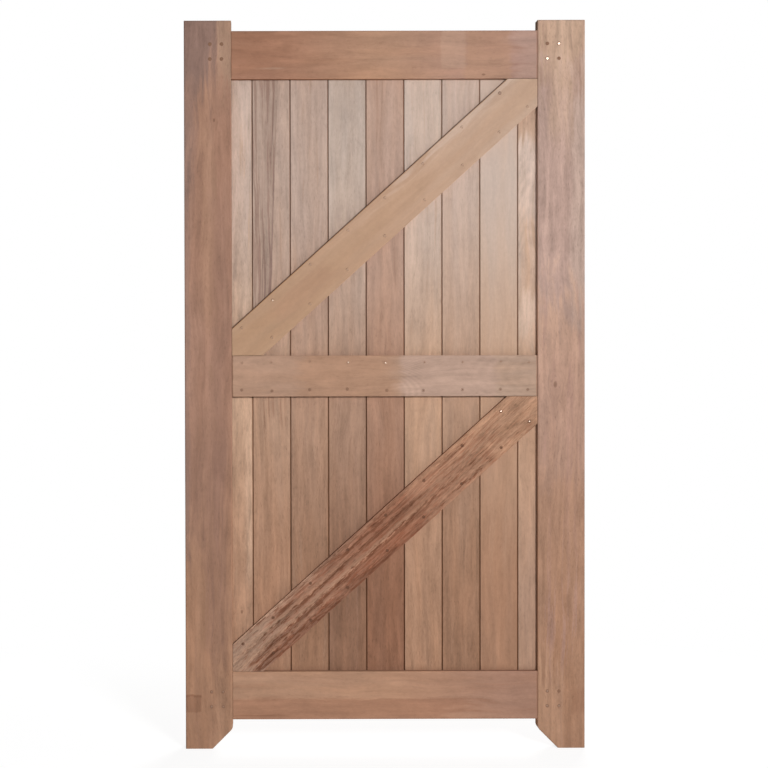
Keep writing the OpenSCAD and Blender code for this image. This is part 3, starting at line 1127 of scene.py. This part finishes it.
def sky_finish(world, look):
    """White to look at, and a little light from all round."""
    finish = Finish(world)
    strength = look.sky + seen_directly(finish) * (1.0 - look.sky)
    finish.close(finish.node("Background", {}, {"Color": WHITE, "Strength": strength}))


def hang_lamp(name, place, aim, size, power):
    """Hangs a square lamp that points at a place on the gate."""
    bpy.ops.object.light_add(type="AREA", location=place)
    lamp = bpy.context.object
    lamp.name = name
    lamp.rotation_euler = (Vector(aim) - Vector(place)).to_track_quat("-Z", "Y").to_euler()
    lamp.data.shape = "SQUARE"
    lamp.data.size = size
    lamp.data.energy = power


class GATE_OT_set_stage(bpy.types.Operator):
    """Set up the floor, the lamps and the camera"""

    bl_idname = "gate.set_stage"
    bl_label = "Set Stage"

    def execute(self, context):
        look = context.scene.gate_looks.stage
        low, high = (Vector(corner) for corner in CAD_BOX)
        middle = (low + high) / 2
        bpy.ops.object.select_all(action="DESELECT")

        bpy.ops.mesh.primitive_plane_add(size=FLOOR_SIZE, location=(middle.x, 0, low.z))
        floor = context.object
        floor.name = "studio_floor"
        floor.data.materials.append(floor_finish())

        hang_lamp("key_lamp", look.key, look.aim, look.key_size, look.key_power)
        back = (look.key[0], -look.key[1], look.key[2] + BACK_LAMP_RISE)
        hang_lamp("back_lamp", back, look.aim, BACK_LAMP_GROWTH * look.key_size, look.key_power)

        world = bpy.data.worlds.new("white_studio")
        context.scene.world = world
        sky_finish(world, look)

        bpy.ops.object.camera_add(location=look.eye, rotation=(math.pi / 2 - look.pitch, 0, look.yaw))
        camera = context.object
        camera.name = "photo_camera"
        camera.rotation_euler.rotate_axis("Z", look.roll)
        camera.data.lens = look.lens
        camera.data.shift_x, camera.data.shift_y = look.shift
        camera.data.sensor_width = SENSOR_WIDTH
        context.scene.camera = camera
        context.scene.view_settings.view_transform = "Standard"
        return {"FINISHED"}


class GATE_PT_looks(bpy.types.Panel):
    """Lists the looks of the gate"""

    bl_idname = "GATE_PT_looks"
    bl_label = "Garden Gate"
    bl_space_type = "VIEW_3D"
    bl_region_type = "UI"
    bl_category = "Gate"

    def draw(self, context):
        looks = context.scene.gate_looks
        for operator in OPERATORS:
            self.layout.operator(operator.bl_idname)
        groups = [("Nails", looks.nails), ("Pins", looks.pins), ("Stage", looks.stage)]
        groups += [(look.name, look) for look in looks.timbers]
        for label, look in groups:
            box = self.layout.box()
            box.label(text=label)
            for name in look.__annotations__:
                if name not in ("stains", "arches", "knots"):
                    box.prop(look, name)


OPERATORS = (
    GATE_OT_finish_stiles,
    GATE_OT_finish_rails,
    GATE_OT_finish_braces,
    GATE_OT_finish_boards,
    GATE_OT_drive_nails,
    GATE_OT_set_pins,
    GATE_OT_set_stage,
)
GROUPS = (StainLook, KnotLook, ArchLook, TimberLook, FixingLook, StageLook, GateLooks)
CLASSES = GROUPS + OPERATORS + (GATE_PT_looks,)


def register():
    """Registers the classes and the scene's own looks."""
    for kind in CLASSES:
        bpy.utils.register_class(kind)
    bpy.types.Scene.gate_looks = bpy.props.PointerProperty(type=GateLooks)


def unregister():
    """Takes the classes and the looks away again."""
    del bpy.types.Scene.gate_looks
    for kind in reversed(CLASSES):
        bpy.utils.unregister_class(kind)


def main():
    """Dresses the gate."""
    register()
    fill_looks(bpy.context.scene.gate_looks)
    bpy.ops.gate.finish_stiles()
    bpy.ops.gate.finish_rails()
    bpy.ops.gate.finish_braces()
    bpy.ops.gate.finish_boards()
    bpy.ops.gate.drive_nails()
    bpy.ops.gate.set_pins()
    bpy.ops.gate.set_stage()


if __name__ == "__main__":
    main()
